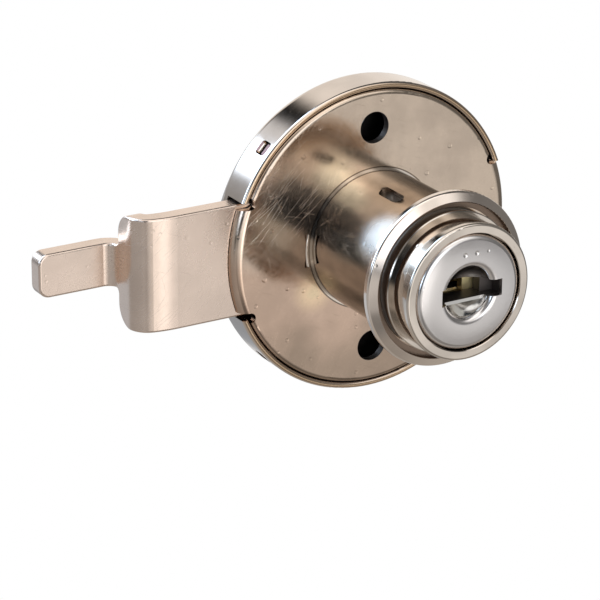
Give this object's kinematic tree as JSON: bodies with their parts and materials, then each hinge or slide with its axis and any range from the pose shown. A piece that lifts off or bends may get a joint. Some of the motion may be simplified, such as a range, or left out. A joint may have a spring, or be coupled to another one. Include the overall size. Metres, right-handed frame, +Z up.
{
  "type": "cam lock",
  "caption": "Round-case furniture cam lock: keyed barrel with a loose trim collar, and a cranked flat bolt driven by a quarter turn of the plug.",
  "frame": {"origin": "on the barrel's axis at the front face of the front plate, midway between the two screw holes", "axes": "-Y along the barrel towards the key, +Z up through the screw holes, -X along the bolt's throw away from the case"},
  "size_m": [0.0621, 0.032, 0.04],
  "materials": {
    "case_nickel": "drawn steel with polished warm nickel plating",
    "plate_nickel": "nickel-plated sheet steel, tumbled, with fine scratches",
    "barrel_nickel": "polished nickel on a die casting",
    "collar_nickel": "polished nickel on a pressed ring",
    "plug_grey": "nickel on a die casting, dull inside",
    "face_satin": "satin grey nickel, pressed cap",
    "bolt_nickel": "nickel-plated flat steel with tumbled edges",
    "brass": "stamped brass, plain",
    "zinc_steel": "bright zinc",
    "spring_steel": "drawn wire"
  },
  "bodies": {
    "housing": {"case_cup": "case_nickel", "front_plate": "plate_nickel", "barrel": "barrel_nickel"},
    "collar": {"collar": "collar_nickel"},
    "plug": {"plug": "plug_grey", "plug_face": "face_satin", "crank_disc": "zinc_steel", "crank_pin": "zinc_steel", "plug_washer": "zinc_steel", "plug_screw": "zinc_steel", "wafer_spring_1": "spring_steel", "wafer_spring_2": "spring_steel", "wafer_spring_3": "spring_steel", "wafer_spring_4": "spring_steel", "wafer_spring_5": "spring_steel"},
    "bolt": {"bolt": "bolt_nickel"},
    "wafer_1": {"wafer_1": "brass"},
    "wafer_2": {"wafer_2": "brass"},
    "wafer_3": {"wafer_3": "brass"},
    "wafer_4": {"wafer_4": "brass"},
    "wafer_5": {"wafer_5": "brass"}
  },
  "joints": [
    {"name": "plug_turn", "type": "hinge", "parent": "housing", "child": "plug", "pos_m": [0, 0, 0], "axis": [0, 1, 0], "range_deg": [0, 90]},
    {"name": "bolt_slide", "type": "slide", "parent": "housing", "child": "bolt", "axis": [1, 0, 0], "range_m": [0, 0.00707]},
    {"name": "collar_slide", "type": "slide", "parent": "housing", "child": "collar", "axis": [0, -1, 0], "range_m": [-0.0152, 0.04]},
    {"name": "wafer_1_slide", "type": "slide", "parent": "plug", "child": "wafer_1", "axis": [1, 0, 0], "range_m": [0, 0.0008], "stiffness_N_per_m": 15, "springref_m": 0.0008, "deforming": ["wafer_spring_1"]},
    {"name": "wafer_2_slide", "type": "slide", "parent": "plug", "child": "wafer_2", "axis": [-1, 0, 0], "range_m": [0, 0.0008], "stiffness_N_per_m": 15, "springref_m": 0.0008, "deforming": ["wafer_spring_2"]},
    {"name": "wafer_3_slide", "type": "slide", "parent": "plug", "child": "wafer_3", "axis": [1, 0, 0], "range_m": [0, 0.0008], "stiffness_N_per_m": 15, "springref_m": 0.0008, "deforming": ["wafer_spring_3"]},
    {"name": "wafer_4_slide", "type": "slide", "parent": "plug", "child": "wafer_4", "axis": [-1, 0, 0], "range_m": [0, 0.0008], "stiffness_N_per_m": 15, "springref_m": 0.0008, "deforming": ["wafer_spring_4"]},
    {"name": "wafer_5_slide", "type": "slide", "parent": "plug", "child": "wafer_5", "axis": [1, 0, 0], "range_m": [0, 0.0008], "stiffness_N_per_m": 15, "springref_m": 0.0008, "deforming": ["wafer_spring_5"]}
  ],
  "couplings": [
    {"joint": "plug_turn", "follows": "bolt_slide", "rad_per_m": 222.14}
  ]
}
